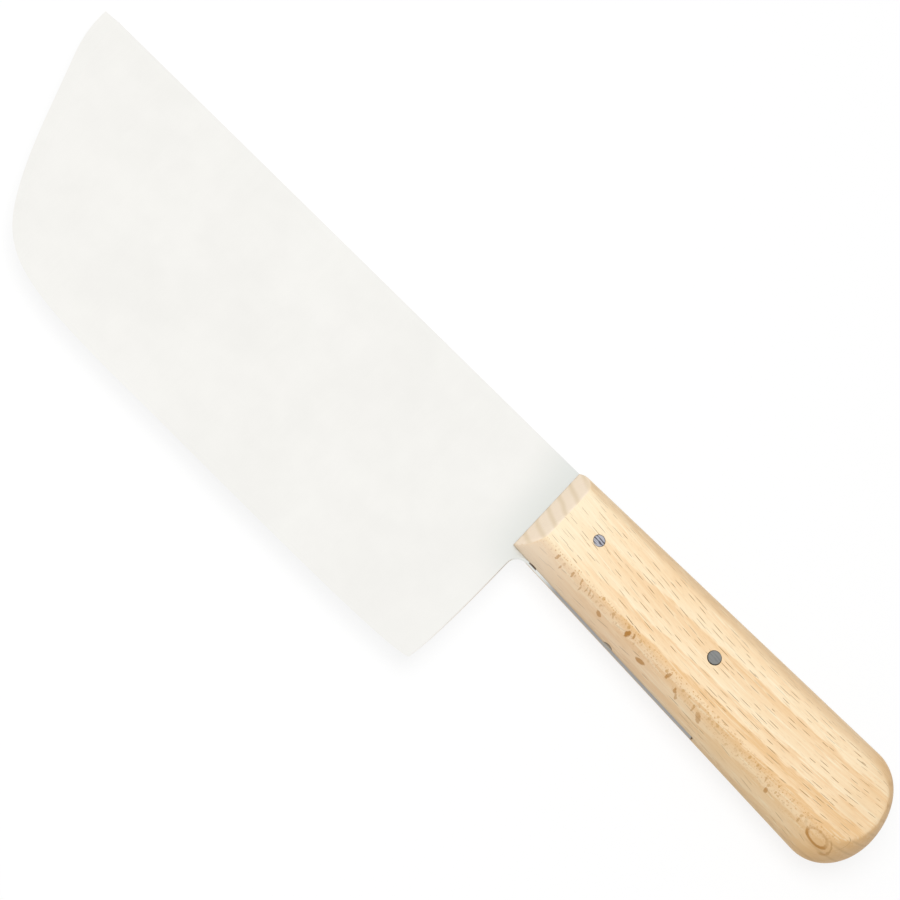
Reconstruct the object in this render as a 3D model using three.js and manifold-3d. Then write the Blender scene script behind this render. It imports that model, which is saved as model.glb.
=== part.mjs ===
// Kitchen cleaver lying on its side: a wide ground blade whose half-length tang fills a sawn slot
// in a one-piece beech handle and is held there by two cross pins. Millimetres, +Z up.
// +X runs along the spine towards the butt and +Y from the cutting edge towards the spine.
import * as THREE from "three";
import Module from "manifold-3d";
import { LoftGeometry } from "three/addons/geometries/LoftGeometry.js";
import { mergeVertices } from "three/addons/utils/BufferGeometryUtils.js";

// Blade, measured from the point where the spine meets the front of the handle
const bladeLength = 180; // along the spine, from the tip to the handle
const bladeDepth = 73; // from the spine to the straight of the cutting edge
const spineThickness = 2.4;
const edgeThickness = 0.7; // where the flat grind meets the sharpened bevel
const edgeLand = 0.1; // left flat on the cutting edge itself
const bevelAngle = 14; // degrees, of each sharpened bevel to the blade's middle plane

// The nose falls square from the tip, runs straight, turns at one point and runs out into the edge.
const noseSetback = 22.9; // turn of the nose, behind the tip
const noseDrop = 59.6; // turn of the nose, below the spine
const noseAngle = 54.2; // degrees below the spine's direction at the turn
const tipReach = 7.6; // from the tip to the guide point below it
const noseReachUp = 10.3; // from the turn to the guide point above it
const straightStart = 0.17; // share of the way between those two guide points
const straightEnd = 0.6;
const noseReachDown = 15.5; // from the turn to the guide point below it
const bellySetback = 83.9; // start of the straight edge, behind the tip
const bellyReach = 38.2;

// The cutting edge sags a little and curls up at the heel.
const edgeSag = 0.5;
const sagSetback = 40; // lowest stretch, ahead of the handle
const heelLift = 1.7;
const heelCurl = 5.5; // length of the curl
const heelCurlDepth = 0.8; // how far its guide point hangs below the straight edge
const heelSetback = 0.6; // heel corner, behind the handle's front
const heelBend = 9; // height over which the rear edge turns in to the heel
const choilSetback = 2.25; // rear edge above that, behind the handle's front
const choilRadius = 5; // reach of the round between the rear edge and the tang

// Tang
const tangLength = 70.2;
const tangProud = 0.35; // the tang's belly edge stands this far out of the wood
const grindRunout = 12; // the grind ends this far inside the handle

// Handle, an oval with two flat sides, that widens towards a round butt
const handleLength = 124.9;
const handleThickness = 19.6; // over the flat sides
const ovalBulge = 2.6; // the full oval would stand this far out of each flat side
const handleHeightFront = 28.4;
const handleHeightRear = 36.2;
const handleRiseFront = 0.4; // back of the handle above the spine
const handleRiseRear = 2.6;
const buttRound = 14.1; // length of the round end, seen from the flat side
const buttRoundThickness = 11; // length over which the end thins out
const buttPointDrop = 1.5; // the butt's hindmost point lies below the handle's middle
const chamferRun = 4.3; // length of the front's two slanted faces

// Pins
const pinDiameter = 3.7;
const frontPinSetback = 15.6; // behind the handle's front
const rearPinMargin = 10.7; // ahead of the tang's end
const pinRise = 0.5; // above the handle's middle
const pinRecess = 0.05; // each end lies this far under the flat side

// Clearances
const slotGap = 0.3; // between each face of the tang and its slot
const slotEndGap = 0.6; // behind the tang's end
const pinGap = 0.2; // round each pin

// Fineness of the curves
const curveSteps = 20;
const noseSteps = 6; // over each of the two rounds beside the straight of the nose
const ovalSteps = 12; // over the back or the belly
const buttSteps = 9;
const pinSides = 32;
const roundestFlat = 0.998; // share of the oval kept where the butt is too thin to have a flat side
const buttEndTurn = 86; // degrees of the round end before its small closing face

const overshoot = 20; // how far a cutter or an envelope passes what it shapes
const leftover = 0.004; // corners that stand out less than this after a cut are merged

// Values that follow
const degree = Math.PI / 180;
const halfThickness = handleThickness / 2;
const halfSlot = spineThickness / 2 + slotGap;
const straightLength = handleLength - buttRound;
const grindSlope = (spineThickness - edgeThickness) / 2 / bladeDepth;
const tip = new THREE.Vector2(-bladeLength, 0);
const heel = new THREE.Vector2(heelSetback, heelLift - bladeDepth);

const handleTop = (x) => handleRiseFront + ((handleRiseRear - handleRiseFront) * x) / straightLength;
const handleHeight = (x) =>
  handleHeightFront + ((handleHeightRear - handleHeightFront) * x) / straightLength;
const handleBottom = (x) => handleTop(x) - handleHeight(x);
const handleMiddle = (x) => handleTop(x) - handleHeight(x) / 2;
const tangBottom = (x) => handleBottom(x) - tangProud;

const wasm = await Module();
wasm.setup();

// A closed geometry as a solid that can be joined and cut
function solidOf(geometry) {
  const bare = new THREE.BufferGeometry();
  bare.setAttribute("position", geometry.getAttribute("position"));
  bare.setIndex(geometry.index);
  const merged = mergeVertices(bare);
  const vertProperties = merged.getAttribute("position").array;
  const triVerts = new Uint32Array(merged.index.array);
  return new wasm.Manifold(new wasm.Mesh({ numProp: 3, vertProperties, triVerts }));
}

function meshOf(name, solid, material) {
  const { vertProperties, triVerts } = solid.asOriginal().simplify(leftover).getMesh();
  const geometry = new THREE.BufferGeometry();
  geometry.setAttribute("position", new THREE.BufferAttribute(vertProperties, 3));
  geometry.setIndex(new THREE.BufferAttribute(triVerts, 1));
  geometry.computeVertexNormals();
  const mesh = new THREE.Mesh(geometry, material);
  mesh.name = name;
  return mesh;
}

function boxBetween(low, high) {
  const size = new THREE.Vector3().subVectors(high, low);
  const middle = new THREE.Vector3().addVectors(low, high).multiplyScalar(0.5);
  const box = new THREE.BoxGeometry(size.x, size.y, size.z);
  return solidOf(box.translate(middle.x, middle.y, middle.z));
}

// A round bar across the handle, at a place on its side
function crossBar(place, radius, length) {
  const bar = new THREE.CylinderGeometry(radius, radius, length, pinSides);
  return solidOf(bar.rotateX(Math.PI / 2).translate(place.x, place.y, 0));
}

// Continues an outline from the tip down the nose and along the cutting edge to the heel.
function addEdge(outline) {
  const turn = new THREE.Vector2(noseSetback - bladeLength, -noseDrop);
  const along = new THREE.Vector2(Math.cos(noseAngle * degree), -Math.sin(noseAngle * degree));
  const below = new THREE.Vector2(tip.x, tip.y - tipReach);
  const before = turn.clone().addScaledVector(along, -noseReachUp);
  const after = turn.clone().addScaledVector(along, noseReachDown);
  const straightFrom = below.clone().lerp(before, straightStart);
  const straightTo = below.clone().lerp(before, straightEnd);
  const bellyX = bellySetback - bladeLength;
  const tipRound = new THREE.QuadraticBezierCurve(tip, below, straightFrom);
  const noseRound = new THREE.QuadraticBezierCurve(straightTo, before, turn);
  for (const point of [...tipRound.getPoints(noseSteps), ...noseRound.getPoints(noseSteps)]) {
    outline.lineTo(point.x, point.y);
  }
  outline.bezierCurveTo(after.x, after.y, bellyX - bellyReach, -bladeDepth, bellyX, -bladeDepth);
  outline.bezierCurveTo(
    -sagSetback,
    -bladeDepth - edgeSag,
    heel.x - heelCurl,
    -bladeDepth - heelCurlDepth,
    heel.x,
    heel.y,
  );
}

// Blade and tang as they are cut from the sheet
function bladeBlank() {
  const choil = new THREE.Vector2(choilSetback, tangBottom(choilSetback));
  const outline = new THREE.Shape();
  outline.moveTo(tip.x, tip.y);
  addEdge(outline);
  outline.quadraticCurveTo(choil.x, heel.y + heelBend, choil.x, choil.y - choilRadius);
  const tangStart = choil.x + choilRadius;
  outline.quadraticCurveTo(choil.x, choil.y, tangStart, tangBottom(tangStart));
  outline.lineTo(tangLength, tangBottom(tangLength));
  outline.lineTo(tangLength, handleTop(tangLength));
  outline.lineTo(0, 0);
  const sheet = new THREE.ExtrudeGeometry(outline, {
    depth: spineThickness,
    bevelEnabled: false,
    curveSegments: curveSteps,
  });
  return solidOf(sheet.translate(0, 0, -spineThickness / 2));
}

// The two flat grinds, from the full thickness at the spine; the tang is left as thick as the sheet.
function grindEnvelope() {
  const half = (y) => spineThickness / 2 + grindSlope * y;
  const low = -bladeDepth - overshoot / 2;
  const section = new THREE.Shape([
    new THREE.Vector2(overshoot, -half(overshoot)),
    new THREE.Vector2(overshoot, half(overshoot)),
    new THREE.Vector2(low, half(low)),
    new THREE.Vector2(low, -half(low)),
  ]);
  const length = bladeLength + tangLength + overshoot;
  const wedge = new THREE.ExtrudeGeometry(section, { depth: length, bevelEnabled: false });
  const alongX = new THREE.Matrix4().makeBasis(
    new THREE.Vector3(0, 1, 0),
    new THREE.Vector3(0, 0, 1),
    new THREE.Vector3(1, 0, 0),
  );
  wedge.applyMatrix4(alongX).translate(tangLength - length, 0, 0);
  const tangRoom = boxBetween(
    new THREE.Vector3(grindRunout, -bladeDepth, -spineThickness),
    new THREE.Vector3(tangLength + overshoot, overshoot, spineThickness),
  );
  return solidOf(wedge).add(tangRoom);
}

// A roof of even slope that rises from the cutting edge, for the two sharpened bevels
function bevelEnvelope() {
  const heelDirection = new THREE.Vector2(heelCurl, heelLift + heelCurlDepth).setLength(overshoot);
  const beyond = heel.clone().add(heelDirection);
  const right = tangLength + 2 * overshoot;
  const outline = new THREE.Shape();
  outline.moveTo(tip.x, tip.y + overshoot);
  outline.lineTo(tip.x, tip.y);
  addEdge(outline);
  outline.lineTo(beyond.x, beyond.y);
  outline.lineTo(right, beyond.y);
  outline.lineTo(right, tip.y + overshoot);
  const rise = spineThickness / 2;
  const run = rise / Math.tan(bevelAngle * degree);
  const roof = new THREE.ExtrudeGeometry(outline, {
    depth: edgeLand,
    bevelThickness: rise,
    bevelSize: run,
    bevelOffset: -run,
    bevelSegments: 1,
    curveSegments: curveSteps,
  });
  return solidOf(roof.translate(0, 0, -edgeLand / 2));
}

// One section of the handle: the back and the belly are arcs of an oval, joined by the flat sides.
function handleSection(x, top, bottom, ovalHalf) {
  const middle = (top + bottom) / 2;
  const half = (top - bottom) / 2;
  const flatTurn = Math.asin(Math.min(roundestFlat, halfThickness / ovalHalf));
  const points = [];
  for (const arcMiddle of [0, Math.PI]) {
    for (let i = 0; i <= ovalSteps; i += 1) {
      const turn = arcMiddle + flatTurn * ((2 * i) / ovalSteps - 1);
      const y = middle + half * Math.cos(turn);
      points.push(new THREE.Vector3(x, y, ovalHalf * Math.sin(turn)));
    }
  }
  return points;
}

function handleBody() {
  const ovalHalf = halfThickness + ovalBulge;
  const sections = [
    handleSection(0, handleTop(0), handleBottom(0), ovalHalf),
    handleSection(straightLength, handleTop(straightLength), handleBottom(straightLength), ovalHalf),
  ];
  const top = handleTop(straightLength);
  const bottom = handleBottom(straightLength);
  const point = (top + bottom) / 2 - buttPointDrop;
  for (let i = 1; i <= buttSteps; i += 1) {
    const turn = (buttEndTurn * degree * i) / buttSteps;
    const x = straightLength + buttRound * Math.sin(turn);
    const closing = Math.cos(turn);
    const thinning = Math.max(0, 1 - (handleLength - x) / buttRoundThickness);
    sections.push(
      handleSection(
        x,
        point + (top - point) * closing,
        point + (bottom - point) * closing,
        ovalHalf * Math.sqrt(1 - thinning * thinning),
      ),
    );
  }
  return solidOf(new LoftGeometry(sections, { capStart: true, capEnd: true }));
}

// What is planed off the front on one side, from the slot out to the flat side
function frontCutter(side) {
  const outer = halfThickness + overshoot;
  const end = (chamferRun * (outer - halfSlot)) / (halfThickness - halfSlot);
  const section = new THREE.Shape([
    new THREE.Vector2(0, side * halfSlot),
    new THREE.Vector2(-overshoot, side * halfSlot),
    new THREE.Vector2(-overshoot, side * outer),
    new THREE.Vector2(end, side * outer),
  ]);
  const depth = handleHeight(0) + 2 * overshoot;
  const prism = new THREE.ExtrudeGeometry(section, { depth, bevelEnabled: false });
  return solidOf(prism.rotateX(Math.PI / 2).translate(0, handleTop(0) + overshoot, 0));
}

function sawnSlot() {
  return boxBetween(
    new THREE.Vector3(-overshoot, handleBottom(straightLength) - overshoot, -halfSlot),
    new THREE.Vector3(tangLength + slotEndGap, handleTop(straightLength) + overshoot, halfSlot),
  );
}

const pinPlaces = [frontPinSetback, tangLength - rearPinMargin].map(
  (x) => new THREE.Vector2(x, handleMiddle(x) + pinRise),
);
const pinNames = ["front_pin", "rear_pin"];

let blade = bladeBlank().intersect(grindEnvelope()).intersect(bevelEnvelope());
let handle = handleBody().subtract(frontCutter(1)).subtract(frontCutter(-1)).subtract(sawnSlot());
for (const place of pinPlaces) {
  const hole = crossBar(place, pinDiameter / 2 + pinGap, handleThickness + overshoot);
  blade = blade.subtract(hole);
  handle = handle.subtract(hole);
}

const steel = { color: 0xf4f3ef, roughness: 0.32, metalness: 1 };
const beech = { color: 0xf4d6aa, roughness: 0.62, metalness: 0 };
const pinSteel = { color: 0xa2a3a1, roughness: 0.42, metalness: 1 };

const knife = new THREE.Group();
knife.add(meshOf("blade", blade, new THREE.MeshStandardMaterial(steel)));
knife.add(meshOf("handle", handle, new THREE.MeshStandardMaterial(beech)));
pinPlaces.forEach((place, i) => {
  const pin = crossBar(place, pinDiameter / 2, handleThickness - 2 * pinRecess);
  knife.add(meshOf(pinNames[i], pin, new THREE.MeshStandardMaterial(pinSteel)));
});

// The origin is the middle of the footprint, on the surface that the cleaver lies on.
const extent = new THREE.Box3().setFromObject(knife);
const middle = extent.getCenter(new THREE.Vector3());
knife.position.set(-middle.x, -middle.y, -extent.min.z);

const cleaver = new THREE.Group();
cleaver.add(knife);

export default cleaver;
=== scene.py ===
"""Kitchen cleaver on a white floor: a pale ground blade and a pinned beech handle.

Every piece is shaped in the cleaver's own axes, which start where the spine meets the handle's front:
x runs along the spine towards the butt, y from the cutting edge towards the spine, z up from the
middle plane. Each piece's object carries those axes to their place in the frame.
"""

import math

import bmesh
import bpy
from mathutils import Matrix, Vector
from mathutils.geometry import interpolate_bezier


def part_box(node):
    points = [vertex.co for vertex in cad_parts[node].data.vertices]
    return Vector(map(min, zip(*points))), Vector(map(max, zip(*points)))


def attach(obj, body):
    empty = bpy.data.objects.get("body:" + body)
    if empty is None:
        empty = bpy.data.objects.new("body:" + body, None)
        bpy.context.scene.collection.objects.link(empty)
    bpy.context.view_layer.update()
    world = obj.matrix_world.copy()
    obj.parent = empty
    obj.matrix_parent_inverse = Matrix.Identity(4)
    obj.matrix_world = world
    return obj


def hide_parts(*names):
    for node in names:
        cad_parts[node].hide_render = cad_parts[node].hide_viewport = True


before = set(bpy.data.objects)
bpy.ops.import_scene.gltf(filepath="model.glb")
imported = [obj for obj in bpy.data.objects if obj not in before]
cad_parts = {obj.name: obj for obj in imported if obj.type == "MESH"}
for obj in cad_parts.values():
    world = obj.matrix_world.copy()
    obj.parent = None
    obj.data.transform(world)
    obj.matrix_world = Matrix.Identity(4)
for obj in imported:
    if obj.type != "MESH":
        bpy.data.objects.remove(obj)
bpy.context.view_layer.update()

MM = 0.001

# Blade
BLADE_LENGTH = 180 * MM
BLADE_DEPTH = 73 * MM
SPINE_HALF = 1.2 * MM  # half the thickness at the spine
EDGE_HALF = 0.35 * MM  # the same where the sharpened bevel starts
LAND_HALF = 0.05 * MM  # the same on the cutting edge itself
BEVEL_SLOPE = math.tan(math.radians(14))
SPINE_EASE = 0.22 * MM  # how far the corners along the spine and the tang are broken
TIP = Vector((-BLADE_LENGTH, 0))
NOSE_TURN = Vector((22.9 * MM - BLADE_LENGTH, -59.6 * MM))
NOSE_DIRECTION = Vector((math.cos(math.radians(54.2)), -math.sin(math.radians(54.2))))
TIP_REACH = 7.6 * MM
NOSE_REACH_UP = 10.3 * MM
NOSE_STRAIGHT = (0.17, 0.6)  # where the nose runs straight, as shares of the way between its guide points
NOSE_REACH_DOWN = 15.5 * MM
BELLY_START = Vector((83.9 * MM - BLADE_LENGTH, -BLADE_DEPTH))
BELLY_REACH = 38.2 * MM
SAG_GUIDE = Vector((-40 * MM, -BLADE_DEPTH - 0.49 * MM))
HEEL = Vector((0.6 * MM, 1.7 * MM - BLADE_DEPTH))
HEEL_GUIDE = Vector((HEEL.x - 5.5 * MM, -BLADE_DEPTH - 0.8 * MM))
HEEL_BEND = 9 * MM  # height over which the rear edge turns in to the heel
CHOIL_X = 2.25 * MM
CHOIL_RADIUS = 5 * MM
TANG_LENGTH = 70.2 * MM
TANG_PROUD = 0.12 * MM  # how far the tang stands out of the wood's belly
EDGE_STEPS = 48
REAR_STEPS = 11
CHOIL_STEPS = 16
STRAIGHT_BEND = 0.05  # sides that meet at less than this bend are moved as one

# Handle
HANDLE_LENGTH = 124.86 * MM
STRAIGHT = 110.8 * MM  # from the front to where the round butt starts
HALF_THICKNESS = 9.8 * MM
OVAL_HALF = 12.4 * MM  # half thickness of the oval that the flat sides are cut from
HEIGHT_FRONT = 28.7 * MM
HEIGHT_REAR = 36.5 * MM
BELLY_PINCH = 0.22  # share by which the oval is narrower at the very belly
RISE_FRONT = 0.4 * MM  # how far the back stands above the spine's line
RISE_REAR = 2.6 * MM
BUTT_ROUND = HANDLE_LENGTH - STRAIGHT
BUTT_ROUND_THICKNESS = 8.5 * MM  # length over which the butt thins out
BUTT_POINT_DROP = 1.5 * MM  # how far its point lies below the middle
FACET_RUN = 4.55 * MM  # length of the front's slanted faces
FACET_STATIONS = (0, 0.06, 0.15, 0.3, 0.45, 0.6, 0.75, 0.86, 0.93, 0.97, 1, 1.03, 1.07, 1.14, 1.25, 1.4)
FRONT_HALF = 1.25 * MM  # half thickness of the wood's front line, before the slot is sawn
FRONT_LEAN = 0.35 * MM  # how much further forward the front stands at the back than at the belly
CREASE_SOFTNESS = 0.8 * MM
CORNER_EASE = 0.4 * MM  # how far the corner between the front and the back is rounded down
SLOT_GAP = 0.05 * MM  # on each side of the tang
SLOT_END_GAP = 0.45 * MM
SLOT_START = -60 * MM  # well ahead of the wood
SLOT_HEIGHTS = (-60 * MM, 30 * MM)  # from below the belly to above the back
ARC_STEPS = 16
FLAT_STEPS = 8
BODY_STEPS = 48
BUTT_STEPS = 26
CROWDING = 1.4  # above 1, points lie closer together where the oval meets the flat
CHOIL_CHIP = 7.75  # places of two chips in the wood beside the slot, in millimetres from the front
BELLY_CHIP = 37
TANG_CHIPS = (  # their places and half sizes
    (CHOIL_CHIP * MM, Vector((1.4, 0.3, 0.5)) * MM),
    (BELLY_CHIP * MM, Vector((1.7, 0.7, 1.3)) * MM),
)

# Markings of the wood, in millimetres
GRAIN_TILT = math.radians(35)  # how far the way out from the trunk's heart is turned from y towards z
RING_BORDERS = (-28, -23.5, -19, -15.4, -12.2, -5, 2.4, 6.5, 13)  # across the trunk
RING_START = -29
RING_SPAN = 44
BORDER_HALF = 0.006  # half the width of a border, as a share of the span
EYE_PLACE = (112.3, -29.7)  # the fleck that shows as a ring
EYE_HALF = (3.4, 1.35)
FLECKS = (  # place, half length along the handle, half width, slant, strength
    (10.6, -24.7, 0.42, 0.85, 0.2, 0.55),
    (12.9, -25.9, 0.35, 0.5, 0, 0.5),
    (16.6, -25.3, 0.45, 0.8, 0, 0.55),
    (19.8, -25.1, 0.35, 0.8, -0.4, 0.5),
    (20.6, -26.3, 0.35, 0.6, -0.3, 0.45),
    (22.0, -25.6, 0.25, 0.8, -0.3, 0.45),
    (23.3, -25.6, 0.25, 0.8, -0.3, 0.45),
    (24.7, -25.8, 0.25, 0.7, -0.2, 0.35),
    (29.0, -27.3, 1.0, 0.5, -0.9, 0.65),
    (32.1, -25.6, 0.6, 0.7, -0.5, 0.4),
    (38.2, -26.3, 0.9, 0.95, 0, 0.9),
    (39.9, -25.8, 0.35, 0.7, -0.5, 0.7),
    (45.7, -28.5, 1.8, 0.45, 0, 0.75),
    (53.7, -26.8, 0.7, 0.9, 0.3, 0.7),
    (57.8, -28.0, 0.6, 0.6, -0.8, 0.65),
    (59.1, -28.8, 0.5, 0.6, -0.8, 0.5),
    (64.5, -28.1, 0.35, 0.9, -0.3, 0.5),
    (67.3, -28.8, 1.0, 1.0, -1, 0.5),
    (91.7, -28.4, 0.35, 0.7, -0.2, 0.45),
    (93.7, -30.0, 0.7, 0.6, -0.5, 0.65),
    (105.3, -29.8, 0.3, 0.6, -0.3, 0.45),
)

# Pins
FRONT_PIN_RADIUS = 1.72 * MM
FRONT_HOLE_RADIUS = 1.75 * MM
REAR_PIN_RADIUS = 1.98 * MM
REAR_HOLE_RADIUS = 2.1 * MM
REAR_HOLE_DROP = 0.2 * MM  # the rear hole is bored this far towards the belly
PIN_HALF = 9.75 * MM
PIN_SIDES = 64

handle_low, handle_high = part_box("handle")
ORIGIN = Vector((handle_low.x, handle_high.y - RISE_REAR, handle_low.z + HALF_THICKNESS))


def handle_top(x):
    return RISE_FRONT + (RISE_REAR - RISE_FRONT) * x / STRAIGHT


def handle_bottom(x):
    return handle_top(x) - HEIGHT_FRONT - (HEIGHT_REAR - HEIGHT_FRONT) * x / STRAIGHT


def tang_bottom(x):
    return handle_bottom(x) - TANG_PROUD


def pin_place(node):
    """A pin's axis, seen from the side"""
    low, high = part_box(node)
    return ((low + high) / 2 - ORIGIN).to_2d()


def piece_from(name, mesh, place=ORIGIN):
    mesh.normal_update()
    data = bpy.data.meshes.new(name)
    mesh.to_mesh(data)
    mesh.free()
    piece = bpy.data.objects.new(name, data)
    piece.location = place
    bpy.context.scene.collection.objects.link(piece)
    return piece


def cut(piece, cutter):
    """Takes the cutter's room out of a piece, and the cutter out of the scene."""
    room = piece.modifiers.new("room", "BOOLEAN")
    room.object = cutter
    room.solver = "EXACT"
    solid = piece.data
    shaped = piece.evaluated_get(bpy.context.evaluated_depsgraph_get())
    piece.data = bpy.data.meshes.new_from_object(shaped)
    piece.modifiers.clear()
    bpy.data.meshes.remove(solid)
    bpy.data.meshes.remove(cutter.data)


def finish_shading(piece, crease):
    """Smooth faces, with a sharp line wherever two meet at more than the crease angle, in degrees"""
    piece.data.shade_smooth()
    piece.data.set_sharp_from_angle(angle=math.radians(crease))


def bridge(mesh, first, second):
    """A closed band of faces between two rings of the same length"""
    for i in range(len(first)):
        j = (i + 1) % len(first)
        mesh.faces.new((first[i], first[j], second[j], second[i]))


# Blade and tang


def round_between(start, guide, end, steps):
    """Points of a round whose two sides, if they ran on, would meet at the guide point"""
    return interpolate_bezier(start, start.lerp(guide, 2 / 3), end.lerp(guide, 2 / 3), end, steps)


def blade_outline():
    """Corners of blade and tang from the tip round by the heel, and whether the side after each cuts"""
    below = TIP - Vector((0, TIP_REACH))
    before = NOSE_TURN - NOSE_DIRECTION * NOSE_REACH_UP
    after = NOSE_TURN + NOSE_DIRECTION * NOSE_REACH_DOWN
    belly_guide = BELLY_START - Vector((BELLY_REACH, 0))
    straight_from, straight_to = (below.lerp(before, share) for share in NOSE_STRAIGHT)
    edge = round_between(TIP, below, straight_from, EDGE_STEPS)
    edge += round_between(straight_to, before, NOSE_TURN, EDGE_STEPS)[:-1]
    edge += interpolate_bezier(NOSE_TURN, after, belly_guide, BELLY_START, EDGE_STEPS)[:-1]
    edge += interpolate_bezier(BELLY_START, SAG_GUIDE, HEEL_GUIDE, HEEL, EDGE_STEPS)[:-1]
    choil = Vector((CHOIL_X, tang_bottom(CHOIL_X)))
    rear_edge = choil - Vector((0, CHOIL_RADIUS))
    tang_start = Vector((CHOIL_X + CHOIL_RADIUS, tang_bottom(CHOIL_X + CHOIL_RADIUS)))
    heel_guide = Vector((CHOIL_X, HEEL.y + HEEL_BEND))
    rear = round_between(HEEL, heel_guide, rear_edge, REAR_STEPS)[:-1]
    rear += round_between(rear_edge, choil, tang_start, CHOIL_STEPS)
    tang = [
        (TANG_LENGTH, tang_bottom(TANG_LENGTH)),
        (TANG_LENGTH, handle_top(TANG_LENGTH)),
        (0, 0),
        (TIP.x + bevel_width(0) * 1.2, 0),
    ]
    return [(corner, True) for corner in edge] + [(Vector(corner), False) for corner in rear + tang]


def ground_half(y):
    """Half the thickness of blade and tang, which taper from the spine to the edge"""
    return SPINE_HALF + (SPINE_HALF - EDGE_HALF) * y / BLADE_DEPTH


def bevel_width(y):
    return (ground_half(y) - LAND_HALF) / BEVEL_SLOPE


def inset(corners, depths):
    """A closed outline with each of its sides moved inwards by that side's own depth"""
    moved = []
    for i, corner in enumerate(corners):
        before = (corner - corners[i - 1]).normalized()
        after = (corners[(i + 1) % len(corners)] - corner).normalized()
        inward_before = Vector((-before.y, before.x))
        inward_after = Vector((-after.y, after.x))
        bend = before.cross(after)
        if abs(bend) < STRAIGHT_BEND:
            step = (inward_before * depths[i - 1] + inward_after * depths[i]) / 2
        else:
            step = (after * depths[i - 1] - before * depths[i]) / bend
        moved.append(corner + step)
    return moved


def make_blade():
    outline = blade_outline()
    corners = [corner for corner, cuts in outline]
    depths = [bevel_width(corner.y) if cuts else SPINE_EASE for corner, cuts in outline]
    inner = inset(corners, depths)
    mesh = bmesh.new()
    rings = []
    for side in (1, -1):
        flat, rim = [], []
        for i, (corner, cuts) in enumerate(outline):
            half = ground_half(inner[i].y)
            rim_half = LAND_HALF if cuts or outline[i - 1][1] else half - SPINE_EASE
            flat.append(mesh.verts.new((*inner[i], side * half)))
            rim.append(mesh.verts.new((*corner, side * rim_half)))
        rings += [flat, rim] if side > 0 else [rim, flat]
    for outer, inside in zip(rings[:-1], rings[1:]):
        bridge(mesh, outer, inside)
    mesh.faces.new(rings[0])
    mesh.faces.new(reversed(rings[-1]))
    bmesh.ops.recalc_face_normals(mesh, faces=mesh.faces)
    return piece_from("blade_and_tang", mesh)


# Handle


def soft_min(first, second):
    """The lower of two heights, with the crease between them sanded round"""
    share = max(CREASE_SOFTNESS - abs(first - second), 0) / CREASE_SOFTNESS
    return min(first, second) - share * share * CREASE_SOFTNESS / 4


def section_turns(oval_half):
    """Angles round a section, closest where the oval meets the flat sides"""
    flat_turn = math.asin(min(0.995, HALF_THICKNESS / oval_half))
    quarter = [flat_turn * (1 - (1 - i / ARC_STEPS) ** CROWDING) for i in range(ARC_STEPS)]
    rest = math.pi / 2 - flat_turn
    quarter += [flat_turn + rest * (i / FLAT_STEPS) ** CROWDING for i in range(FLAT_STEPS + 1)]
    half = quarter[:-1] + [math.pi - turn for turn in reversed(quarter)][:-1]
    return half + [math.pi + turn for turn in half]


def handle_stations():
    """Distance, back, belly and oval thickness of each section of the handle"""
    places = [FACET_RUN * share for share in FACET_STATIONS]
    rest = STRAIGHT - places[-1]
    places += [places[-1] + rest * (i + 1) / BODY_STEPS for i in range(BODY_STEPS)]
    stations = []
    for x in places:
        ease = CORNER_EASE * max(0, 1 - 2 * x / FACET_RUN) ** 2
        stations.append((x, handle_top(x) - ease, handle_bottom(x), OVAL_HALF))
    top, bottom = handle_top(STRAIGHT), handle_bottom(STRAIGHT)
    point = (top + bottom) / 2 - BUTT_POINT_DROP
    for i in range(1, BUTT_STEPS):
        turn = math.pi / 2 * i / BUTT_STEPS
        x = STRAIGHT + BUTT_ROUND * math.sin(turn)
        closing = math.cos(turn)
        thinning = max(0, 1 - (HANDLE_LENGTH - x) / BUTT_ROUND_THICKNESS)
        oval_half = OVAL_HALF * math.sqrt(1 - thinning * thinning)
        back, belly = point + (top - point) * closing, point + (bottom - point) * closing
        stations.append((x, back, belly, oval_half))
    return stations, Vector((HANDLE_LENGTH, point, 0))


def handle_ring(mesh, x, top, bottom, oval_half):
    """One section: an oval, slimmer at the belly, cut by the flat sides and by the front's slanted faces"""
    facet = FRONT_HALF + (HALF_THICKNESS - FRONT_HALF) * x / FACET_RUN
    lean = FRONT_LEAN * max(0, 1 - x / (4 * FACET_RUN))
    ring = []
    for turn in section_turns(oval_half):
        y = (top + bottom) / 2 + (top - bottom) / 2 * math.cos(turn)
        reach = min(1, abs(math.sin(turn)) * OVAL_HALF / HALF_THICKNESS)
        pinch = BELLY_PINCH * (1 - reach * reach) ** 2 if math.cos(turn) < 0 else 0
        oval = abs(oval_half * math.sin(turn)) * (1 - pinch)
        height = soft_min(soft_min(oval, HALF_THICKNESS), facet)
        place = (x - lean * (1 + math.cos(turn)) / 2, y, math.copysign(max(height, 0), math.sin(turn)))
        ring.append(mesh.verts.new(place))
    return ring


def make_handle():
    stations, point = handle_stations()
    mesh = bmesh.new()
    rings = [handle_ring(mesh, *station) for station in stations]
    for first, second in zip(rings[:-1], rings[1:]):
        bridge(mesh, first, second)
    mesh.faces.new(reversed(rings[0]))
    pole = mesh.verts.new(point)
    for i in range(len(rings[-1])):
        mesh.faces.new((rings[-1][i], rings[-1][(i + 1) % len(rings[-1])], pole))
    bmesh.ops.recalc_face_normals(mesh, faces=mesh.faces)
    return piece_from("beech_handle", mesh)


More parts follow.
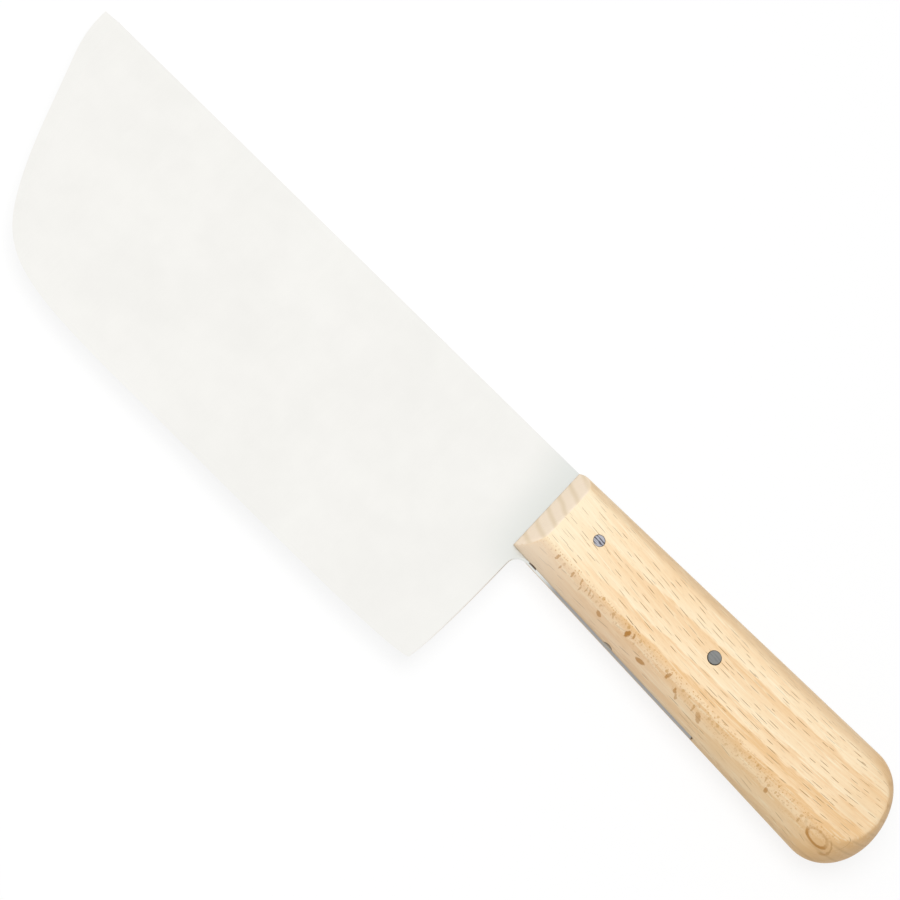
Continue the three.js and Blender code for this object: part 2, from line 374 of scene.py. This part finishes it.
def slot_cutter():
    """Room for the tang, from well ahead of the wood"""
    mesh = bmesh.new()
    start, end = SLOT_START, TANG_LENGTH + SLOT_END_GAP
    rings = []
    for y in SLOT_HEIGHTS:
        half = ground_half(y) + SLOT_GAP
        corners = ((start, y, -half), (end, y, -half), (end, y, half), (start, y, half))
        rings.append([mesh.verts.new(corner) for corner in corners])
    bridge(mesh, *rings)
    for ring in rings:
        mesh.faces.new(ring)
    bmesh.ops.recalc_face_normals(mesh, faces=mesh.faces)
    return piece_from("slot", mesh)


def hole_cutter(place, radius):
    mesh = bmesh.new()
    bar = {"segments": PIN_SIDES, "radius1": radius, "radius2": radius, "depth": 4 * HALF_THICKNESS}
    bmesh.ops.create_cone(mesh, cap_ends=True, matrix=Matrix.Translation((*place, 0)), **bar)
    return piece_from("hole", mesh)


def chip_cutter(x, half_size):
    """Room of a chip in the wood's corner beside the slot, on the belly"""
    mesh = bmesh.new()
    bmesh.ops.create_icosphere(mesh, subdivisions=3, radius=1)
    middle = Vector((x, handle_bottom(x), ground_half(handle_bottom(x))))
    mesh.transform(Matrix.Translation(middle) @ Matrix.Diagonal((*half_size, 1)))
    return piece_from("chip", mesh)


def make_pin(name, place, radius):
    """A cross pin with broken corners and faintly crowned ends"""
    broken, crown = 0.12 * MM, 0.03 * MM
    profile = [
        (radius, PIN_HALF - crown - broken),
        (radius - broken, PIN_HALF - crown),
        (radius * 0.6, PIN_HALF - crown * 0.3),
    ]
    profile = [(reach, -z) for reach, z in reversed(profile)] + profile
    mesh = bmesh.new()
    rings = []
    for reach, z in profile:
        turns = [2 * math.pi * i / PIN_SIDES for i in range(PIN_SIDES)]
        rings.append([mesh.verts.new((reach * math.cos(t), reach * math.sin(t), z)) for t in turns])
    for first, second in zip(rings[:-1], rings[1:]):
        bridge(mesh, first, second)
    for ring, z in ((rings[0], -PIN_HALF), (rings[-1], PIN_HALF)):
        middle = mesh.verts.new((0, 0, z))
        for i in range(PIN_SIDES):
            mesh.faces.new((ring[i], ring[(i + 1) % PIN_SIDES], middle))
    bmesh.ops.recalc_face_normals(mesh, faces=mesh.faces)
    return piece_from(name, mesh, ORIGIN + Vector((*place, 0)))


# Materials


def tint(red, green, blue):
    """A colour as it shows on the screen, from 0 to 255, turned into light"""
    def light(level):
        share = level / 255
        return share / 12.92 if share <= 0.04045 else ((share + 0.055) / 1.055) ** 2.4
    return (light(red), light(green), light(blue), 1)


class Wire:
    """A node's output. Arithmetic on it adds Math nodes."""

    def __init__(self, nodes, socket):
        self.nodes = nodes
        self.socket = socket

    def __add__(self, other):
        return self.nodes.math("ADD", self, other)

    def __sub__(self, other):
        return self.nodes.math("SUBTRACT", self, other)

    def __rsub__(self, other):
        return self.nodes.math("SUBTRACT", other, self)

    def __mul__(self, other):
        return self.nodes.math("MULTIPLY", self, other)

    def __truediv__(self, other):
        return self.nodes.math("DIVIDE", self, other)

    def __abs__(self):
        return self.nodes.math("ABSOLUTE", self)

    __radd__ = __add__
    __rmul__ = __mul__


class Nodes:
    """A node tree that is filled by add() and by arithmetic on wires"""

    def __init__(self, tree):
        self.tree = tree
        tree.nodes.clear()

    def add(self, kind, settings=None, inputs=None, output=0):
        node = self.tree.nodes.new("ShaderNode" + kind)
        for name, value in (settings or {}).items():
            if name == "stops":
                self.set_stops(node.color_ramp, value)
            else:
                setattr(node, name, value)
        for name, value in (inputs or {}).items():
            if isinstance(value, Wire):
                self.tree.links.new(value.socket, node.inputs[name])
            else:
                node.inputs[name].default_value = value
        return Wire(self, node.outputs[output]) if len(node.outputs) else None

    @staticmethod
    def set_stops(ramp, stops):
        while len(ramp.elements) < len(stops):
            ramp.elements.new(1)
        for element, (position, colour) in zip(ramp.elements, stops):
            element.position = position
            element.color = colour

    def math(self, operation, *values):
        return self.add("Math", {"operation": operation}, dict(enumerate(values)))

    def between(self, value, low, high):
        """Rises softly from 0 at low to 1 at high, which may lie below low"""
        inputs = {"Value": value, "From Min": low, "From Max": high}
        return self.add("MapRange", {"interpolation_type": "SMOOTHSTEP"}, inputs)

    def mix(self, share, first, second):
        """The first colour at share 0, the second at share 1"""
        return self.add("Mix", {"data_type": "RGBA"}, {0: share, 6: first, 7: second}, 2)

    def place(self):
        """Place on the piece along its own axes, in millimetres"""
        metres = self.add("TexCoord", output="Object")
        millimetres = self.add("VectorMath", {"operation": "SCALE"}, {0: metres, "Scale": 1 / MM})
        return self.split(millimetres)

    def split(self, vector):
        node = self.add("SeparateXYZ", inputs={0: vector}).socket.node
        return [Wire(self, socket) for socket in node.outputs]

    def join(self, x, y, z):
        return self.add("CombineXYZ", inputs={"X": x, "Y": y, "Z": z})

    def noise(self, x, y, z, detail=2.0, roughness=0.5):
        inputs = {"Vector": self.join(x, y, z), "Scale": 1.0, "Detail": detail, "Roughness": roughness}
        return self.add("TexNoise", inputs=inputs, output="Fac")

    def scatter(self, along, across):
        """One spot to each cell of unit size: the offsets from the nearest spot, and its own draws"""
        inputs = {"Vector": self.join(along, across, 0), "Scale": 1.0}
        node = self.add("TexVoronoi", {"voronoi_dimensions": "2D"}, inputs).socket.node
        spot = self.split(Wire(self, node.outputs["Position"]))
        draws = self.split(Wire(self, node.outputs["Color"]))
        return along - spot[0], across - spot[1], draws

    def normal(self):
        return self.split(self.add("NewGeometry", output="Normal"))

    def bump(self, height, distance, strength=1.0):
        inputs = {"Height": height, "Distance": distance, "Strength": strength}
        return self.add("Bump", inputs=inputs, output="Normal")

    def surface(self, **sockets):
        """The surface itself; an underscore in a name stands for a space"""
        inputs = {name.replace("_", " "): value for name, value in sockets.items()}
        shader = self.add("BsdfPrincipled", inputs=inputs)
        self.add("OutputMaterial", inputs={"Surface": shader})


def material(name):
    made = bpy.data.materials.new(name)
    made.use_nodes = True
    return made, Nodes(made.node_tree)


def ovals(nodes, along, across, pitch, gap, length, width):
    """Scattered ovals, in millimetres: 1 inside one, and the draws that belong to it"""
    ahead, aside, draws = nodes.scatter(along / pitch, across / gap)
    ahead = ahead * pitch / (length * (draws[0] + 0.5))
    aside = aside * gap / width
    return nodes.between(ahead * ahead + aside * aside, 1.0, 0.35), draws


def ring_stops():
    """Each growth ring darkens from its inner border to its outer one."""
    stops = []
    for border in RING_BORDERS:
        place = (border - RING_START) / RING_SPAN
        stops += [(place - BORDER_HALF, (1, 1, 1, 1)), (place + BORDER_HALF, (0, 0, 0, 1))]
    return stops


def beech():
    """Solid beech: growth rings, fine fibre, rays that show as dashes, and flecks where they lie flat"""
    made, nodes = material("beech")
    x, y, z = nodes.place()
    lean = nodes.normal()
    across, up = math.sin(GRAIN_TILT), math.cos(GRAIN_TILT)

    # Fibre leans towards the belly at the front and towards the spine at the butt.
    past = nodes.math("MAXIMUM", x - 40, 0)
    fibre = y + x * 0.11 - past * past * 0.0014
    wander = nodes.noise(x / 26, y / 10, z / 10, detail=1.0) - 0.5
    radial = fibre * up + z * across + wander
    tangent = z * up - fibre * across + wander * 0.8

    # Growth rings with torn borders
    torn = nodes.noise(x / 6, radial / 0.8, tangent / 0.8, detail=3.0) - 0.5
    sway = nodes.noise(x / 50, y / 12, z / 12, detail=1.0) - 0.5
    trunk = (y - x * 0.042) * up + z * across
    height = trunk + torn * 2.8 + sway * 1.8
    ring = nodes.add("ValToRGB", {"stops": ring_stops()}, {"Fac": (height - RING_START) / RING_SPAN})
    streak = nodes.noise(x / 40, radial / 1.1, tangent / 1.1, detail=4.0, roughness=0.65)
    thread = nodes.noise(x / 9, radial / 0.28, tangent / 0.28, detail=3.0, roughness=0.6) - 0.5
    outer = nodes.between(trunk, -13.5, -17)
    contrast = 0.35 + nodes.between(x, 8, 42) * 0.65
    tone = (ring - 0.4) * contrast * 0.6 + streak * 0.7 + thread * 0.6
    tone = tone + outer * 0.3 + contrast * 0.22 - 0.13
    stops = (
        (0.0, tint(255, 238, 206)),
        (0.3, tint(252, 228, 190)),
        (0.65, tint(247, 215, 172)),
        (1.0, tint(236, 196, 144)),
    )
    colour = nodes.add("ValToRGB", {"stops": stops}, {"Fac": tone})
    gleam = nodes.between(nodes.noise(x / 15, radial / 0.5, tangent / 0.5, detail=2.0), 0.56, 0.72)
    colour = nodes.mix(gleam * 0.6, colour, tint(255, 243, 213))

    # Rays cut across, as dark dashes
    facing = abs(lean[2] * up - lean[1] * across)
    shoulder = nodes.between(facing, 0.93, 0.99)
    dash, draws = ovals(nodes, x, tangent, 4.7, 0.85, 2.0, 0.05)
    dash = dash * nodes.between(draws[1], 0.05, 0.8) * (1 - shoulder * 0.85)
    speck, chances = ovals(nodes, x, tangent, 2.7, 0.45, 0.7, 0.06)
    colour = nodes.mix(speck * chances[1] * 0.25, colour, tint(196, 150, 98))
    colour = nodes.mix(dash * 0.9, colour, tint(138, 100, 56))

    # Rays that lie along the surface, as amber flecks
    fleck, draws = ovals(nodes, x, radial, 1.7, 2.0, 0.4, 0.6)
    fleck = fleck * nodes.between(draws[1], 0.5, 0.95)
    colour = nodes.mix(shoulder * fleck * 0.65, colour, tint(200, 150, 78))
    crumb, draws = ovals(nodes, x, radial, 0.75, 0.8, 0.22, 0.2)
    colour = nodes.mix(shoulder * crumb * draws[1] * 0.75, colour, tint(205, 148, 74))

    # Painted light and shade by the way each side faces: shade on the belly, the back and the butt, light
    # on the belly's and the flat's front; the butt also takes its warmer end grain
    # Painted shade on the belly side, which faces away from the lamp above
    belly = nodes.between(lean[1], -0.5, -0.9)
    shade = nodes.mix(nodes.between(x, 40, 80), tint(228, 200, 170), tint(228, 200, 158))
    colour = nodes.mix(belly * 0.5, colour, shade)
    # Painted light on the belly near the front
    colour = nodes.mix(belly * nodes.between(x, 24, 2) * 0.7, colour, tint(252, 232, 206))
    # Painted shade on the back side, broken up by a random mottle
    back = nodes.between(lean[1], 0.2, 0.8)
    mottle = nodes.between(nodes.noise(x / 6, y / 2, z / 2, detail=2.0), 0.35, 0.65)
    colour = nodes.mix(back * (0.3 + mottle * 0.4), colour, tint(228, 194, 148))
    # Painted light on the flat near the front
    pale = nodes.between(x, 20, 4) * nodes.between(lean[2], 0.8, 0.95)
    colour = nodes.mix(pale * 0.45, colour, tint(255, 243, 214))
    line = abs(nodes.math("FRACT", (trunk + sway * 2.0 + 40.1) / 3.95) - 0.5)
    # Painted shade on the rounded butt, deeper where it turns away from the lamp above, partly the end
    # grain's own warmer tone; then its growth lines
    butt = nodes.between(x, 103, 116) * (0.3 + nodes.between(abs(lean[2]), 0.97, 0.7) * 0.7)
    colour = nodes.mix(butt * 0.75, colour, tint(226, 182, 124))
    colour = nodes.mix(butt * nodes.between(line, 0.16, 0.0) * 0.25, colour, tint(176, 134, 80))

    # The largest flecks, and one that shows as a ring
    rough_x = x + (nodes.noise(x / 0.9, y / 0.9, z / 0.9) - 0.5) * 1.2
    upper = nodes.between(z, 0, 2)
    amber = 0
    for place_x, place_y, length, width, slant, strength in FLECKS:
        aside = y - place_y
        ahead = (rough_x - place_x - aside * slant) / length
        aside = aside / width
        inside = nodes.between(ahead * ahead + aside * aside, 1.0, 0.45) * strength
        amber = nodes.math("MAXIMUM", amber, inside)
    ahead, aside = (rough_x - EYE_PLACE[0]) / EYE_HALF[0], (y - EYE_PLACE[1]) / EYE_HALF[1]
    away = nodes.math("SQRT", ahead * ahead + aside * aside) + wander * 0.4
    eye = nodes.between(abs(away - 1), 0.24, 0.08) * (0.3 + nodes.between(aside, 0.5, -0.6) * 0.5)
    arc = nodes.between(abs(away - 1.55), 0.14, 0.04) * nodes.between(ahead, 0.7, 1.2) * 0.45
    amber = nodes.math("MAXIMUM", amber, nodes.math("MAXIMUM", eye, arc))
    colour = nodes.mix(amber * upper, colour, tint(174, 116, 28))

    # End grain at the slanted front: its own paler tone, raised further by painted light where the lamp
    # leaves the slant dim, and its growth lines
    end = nodes.between(abs(lean[0]), 0.3, 0.5) * nodes.between(x, 7, 5)
    colour = nodes.mix(end * 0.85, colour, tint(252, 234, 212))
    colour = nodes.mix(end * nodes.between(line, 0.3, 0.0) * 0.55, colour, tint(226, 203, 166))

    # Wood darker beside the tang, along the slot
    slot_dark = nodes.between(abs(z), 1.6, 1.0) * nodes.between(x, 72, 70)
    colour = nodes.mix(slot_dark * 0.25, colour, tint(128, 112, 98))

    rough = 0.5 + streak * 0.12 + dash * 0.1
    normal = nodes.bump(streak * 0.5 - dash * 0.6, 0.06 * MM, 0.6)
    nodes.surface(Base_Color=colour, Roughness=rough, Normal=normal)
    return made


def blade_steel():
    """Pale satin steel with a faint cloudy bloom and painted shade from the handle, greyer towards the
    wood; the tang is left grey
    """
    made, nodes = material("blade_steel")
    x, y, z = nodes.place()
    cloud = nodes.noise(x / 38, y / 30, z / 30, detail=3.0)
    bloom = nodes.noise(x / 7, y / 7, z / 7, detail=2.0)
    satin = nodes.noise(x / 0.25, y / 14, z / 14, detail=2.0)
    tone = cloud * 0.6 + bloom * 0.25 + satin * 0.15
    colour = nodes.mix(nodes.between(tone, 0.3, 0.7), tint(243, 242, 238), tint(248, 247, 243))
    # Painted shade from the handle, greying the blade near the wood
    handle_shade = nodes.between(x + y * 0.12, -16, 0) * nodes.between(y, -44, -26)
    colour = nodes.mix(handle_shade, colour, tint(229, 231, 227))
    tang = nodes.between(x, 10, 18)
    colour = nodes.mix(tang, colour, tint(162, 160, 157))

    # Painted shade darkens the tang in one chip of the wood beside it, where the recess shades it; painted
    # light makes it pale and dull in the other.
    upper = nodes.between(z, 0.5, 0.7)
    dark = nodes.between(abs(x - CHOIL_CHIP), 1.45, 1.15) * nodes.between(abs(y + 28.4), 0.7, 0.6)
    colour = nodes.mix(dark * upper, colour, tint(118, 106, 95))
    # Painted light: pale grey and not metallic in the belly chip, so its recess shows lighter than its
    # reflected shade would make it
    dull = nodes.between(abs(x - BELLY_CHIP), 2.2, 1.9) * nodes.between(abs(y + 29.5), 0.8, 0.65) * upper
    colour = nodes.mix(dull, colour, tint(172, 166, 153))

    rough = 0.34 + (cloud - 0.5) * 0.08 + (satin - 0.5) * 0.1 + tang * 0.12
    normal = nodes.bump(satin, 0.004 * MM, 0.5)
    nodes.surface(Base_Color=colour, Metallic=1 - dull, Roughness=rough, Normal=normal)
    return made


def pin_steel(name, face, marks, rim, radius):
    """Filed pin ends: lines along the handle and a darker rim; the pin's side is dull and dark"""
    made, nodes = material(name)
    x, y, z = nodes.place()
    away = nodes.math("SQRT", x * x + y * y) * MM / radius
    lines = nodes.noise(x / 3, y / 0.4, z / 2, detail=1.0)
    grime = nodes.noise(x / 0.8, y / 0.8, z / 0.8, detail=2.0)
    mark = nodes.between(lines, 0.5, 0.62) * marks
    colour = nodes.mix(mark, face, tint(82, 80, 88))
    colour = nodes.mix(nodes.between(away + grime * 0.1, 0.9, 1.03) * rim, colour, tint(92, 90, 88))
    side = nodes.between(abs(z), PIN_HALF / MM - 0.1, PIN_HALF / MM - 0.25)
    colour = nodes.mix(side, colour, tint(58, 50, 44))
    rough = 0.4 + grime * 0.15 + mark * 0.2
    normal = nodes.bump(lines * -1.0, 0.02 * MM, 0.6)
    nodes.surface(Base_Color=colour, Metallic=1 - side, Roughness=rough, Normal=normal)
    return made


# Pieces

blade = make_blade()
handle = make_handle()
front_place, rear_place = pin_place("front_pin"), pin_place("rear_pin")
rear_hole = rear_place - Vector((0, REAR_HOLE_DROP))
cut(handle, slot_cutter())
for spot, radius in ((front_place, FRONT_HOLE_RADIUS), (rear_hole, REAR_HOLE_RADIUS)):
    cut(handle, hole_cutter(spot, radius))
    cut(blade, hole_cutter(spot, radius))
for chip in TANG_CHIPS:
    cut(handle, chip_cutter(*chip))
front_pin = make_pin("front_cross_pin", front_place, FRONT_PIN_RADIUS)
rear_pin = make_pin("rear_cross_pin", rear_place, REAR_PIN_RADIUS)

blade.data.materials.append(blade_steel())
handle.data.materials.append(beech())
front_steel = pin_steel("front_pin_steel", tint(190, 190, 198), 0.85, 0.4, FRONT_PIN_RADIUS)
rear_steel = pin_steel("rear_pin_steel", tint(146, 147, 145), 0.2, 0.15, REAR_PIN_RADIUS)
front_pin.data.materials.append(front_steel)
rear_pin.data.materials.append(rear_steel)
finish_shading(blade, crease=8)
finish_shading(handle, crease=40)
finish_shading(front_pin, crease=20)
finish_shading(rear_pin, crease=20)

for piece, node, slot in (
    (blade, "blade", "blade_steel"),
    (handle, "handle", "beech"),
    (front_pin, "front_pin", "pin_steel"),
    (rear_pin, "rear_pin", "pin_steel"),
):
    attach(piece, "root")
    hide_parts(node)

# Floor, light and camera

FLOOR_SIZE = 8
FLOOR_SEEN = 0.16  # share of the floor's brightness in the picture that answers to light and shadow
FILL = 0.42
LAMP_PLACE = (-0.22, -0.04, 1.1)
LAMP_SIZE = 0.9
LAMP_POWER = 9.2
VIEW_TILT = math.radians(22)
VIEW_ROLL = math.radians(44.45)
VIEW_DISTANCE = 1.0
VIEW_WIDTH = 242.29 * MM
VIEW_CENTRE = Vector((-29.922 * MM, -21.084 * MM, 0))
SENSOR = 36


def seen_ray(nodes):
    """1 where the camera looks, straight or by way of a reflection"""
    path = nodes.add("LightPath").socket.node
    seen = Wire(nodes, path.outputs["Is Camera Ray"])
    for kind in ("Is Glossy Ray", "Is Transmission Ray"):
        seen = nodes.math("MAXIMUM", seen, Wire(nodes, path.outputs[kind]))
    return seen


def make_floor():
    mesh = bmesh.new()
    bmesh.ops.create_grid(mesh, x_segments=1, y_segments=1, size=FLOOR_SIZE / 2)
    floor = piece_from("floor", mesh, Vector((0, 0, 0)))
    made, nodes = material("white_floor")
    seen = seen_ray(nodes)
    paint = nodes.add("BsdfDiffuse", inputs={"Color": (0.8, 0.8, 0.8, 1)})
    shown = nodes.add("BsdfDiffuse", inputs={"Color": (FLOOR_SEEN, FLOOR_SEEN, FLOOR_SEEN, 1)})
    glow = nodes.add("Emission", inputs={"Color": (1, 1, 1, 1), "Strength": 1 - FLOOR_SEEN})
    picture = nodes.add("AddShader", inputs={0: shown, 1: glow})
    surface = nodes.add("MixShader", inputs={0: seen, 1: paint, 2: picture})
    nodes.add("OutputMaterial", inputs={"Surface": surface})
    floor.data.materials.append(made)


def make_light():
    world = bpy.data.worlds.new("white_studio")
    world.use_nodes = True
    bpy.context.scene.world = world
    nodes = Nodes(world.node_tree)
    fill = nodes.add("Background", inputs={"Color": (1, 1, 1, 1), "Strength": FILL})
    white = nodes.add("Background", inputs={"Color": (1, 1, 1, 1), "Strength": 1.0})
    surface = nodes.add("MixShader", inputs={0: seen_ray(nodes), 1: fill, 2: white})
    nodes.add("OutputWorld", inputs={"Surface": surface})
    lamp = bpy.data.lights.new("soft_lamp", "AREA")
    lamp.shape = "DISK"
    lamp.size = LAMP_SIZE
    lamp.energy = LAMP_POWER
    holder = bpy.data.objects.new("soft_lamp", lamp)
    holder.location = LAMP_PLACE
    holder.visible_glossy = False
    bpy.context.scene.collection.objects.link(holder)


def make_camera():
    data = bpy.data.cameras.new("camera")
    data.sensor_width = SENSOR
    data.lens = SENSOR * VIEW_DISTANCE / VIEW_WIDTH
    back = Vector((0, -math.sin(VIEW_TILT), math.cos(VIEW_TILT)))
    along = Vector((1, 0, 0))
    over = back.cross(along)
    right = along * math.cos(VIEW_ROLL) + over * math.sin(VIEW_ROLL)
    axes = Matrix((right, back.cross(right), back)).transposed()
    camera = bpy.data.objects.new("camera", data)
    camera.matrix_world = Matrix.Translation(ORIGIN + VIEW_CENTRE + back * VIEW_DISTANCE) @ axes.to_4x4()
    bpy.context.scene.collection.objects.link(camera)
    bpy.context.scene.camera = camera


make_floor()
make_light()
make_camera()
bpy.context.scene.view_settings.view_transform = "Standard"
